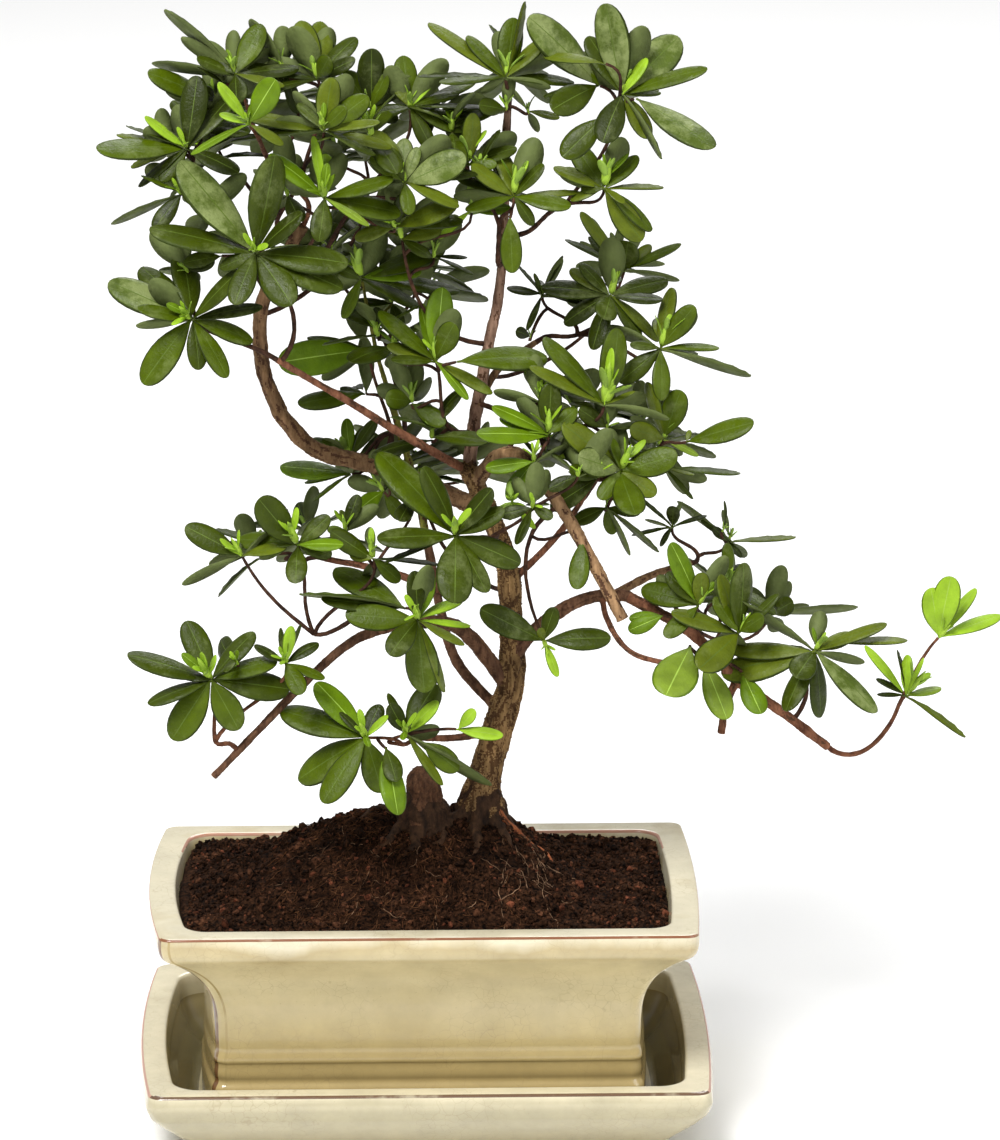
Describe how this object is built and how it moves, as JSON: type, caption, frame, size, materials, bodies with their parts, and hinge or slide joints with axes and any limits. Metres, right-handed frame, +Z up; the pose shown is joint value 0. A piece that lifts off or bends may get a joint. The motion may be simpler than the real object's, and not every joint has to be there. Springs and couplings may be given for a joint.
{
  "type": "azalea bonsai in a glazed pot with drip tray",
  "caption": "Small evergreen shrub trained as an indoor tree, with whorled leaves on crooked boughs, in a glazed rectangular pot on its drip tray.",
  "frame": {"origin": "centre of the drip tray's flat underside", "axes": "+X along the pot's long side, +Y towards the back, away from the low front foliage, +Z up"},
  "size_m": [0.3297, 0.1655, 0.4227],
  "materials": {
    "glaze": "gloss",
    "soil": "matte",
    "bark": "matte",
    "leaves": "satin"
  },
  "bodies": {
    "root": {"drip_tray": "glaze", "pot": "glaze", "soil": "soil", "crossing_bough": "bark", "cut_bough": "bark", "cut_stump": "bark", "inner_left_bough": "bark", "leader": "bark", "left_bough_rise": "bark", "left_bough_sweep": "bark", "loop_twig": "bark", "low_back_bough": "bark", "low_front_bough": "bark", "low_left_bough": "bark", "right_back_bough": "bark", "right_bough": "bark", "right_bough_fall": "bark", "right_stub": "bark", "thin_left_bough": "bark", "trunk": "bark", "upper_right_bough": "bark", "centre": "leaves", "centre_back": "leaves", "centre_front": "leaves", "crown_back_left": "leaves", "crown_back_right": "leaves", "crown_far_left": "leaves", "crown_front": "leaves", "crown_middle": "leaves", "crown_right": "leaves", "crown_top": "leaves", "crown_top_left": "leaves", "front_low": "leaves", "hanging_right": "leaves", "heart": "leaves", "heart_left": "leaves", "inner_back": "leaves", "inner_crown": "leaves", "inner_crown_right": "leaves", "leader_back": "leaves", "leader_middle": "leaves", "leader_right": "leaves", "leader_top": "leaves", "left_shoulder": "leaves", "low_front": "leaves", "low_left_back": "leaves", "low_left_outer": "leaves", "low_left_top": "leaves", "right_back": "leaves", "right_cluster": "leaves", "right_cluster_back": "leaves", "right_mass": "leaves", "right_mass_back": "leaves", "right_middle": "leaves", "right_outer": "leaves", "right_tip": "leaves", "right_under": "leaves", "right_upper": "leaves", "right_upper_back": "leaves"}
  },
  "joints": []
}
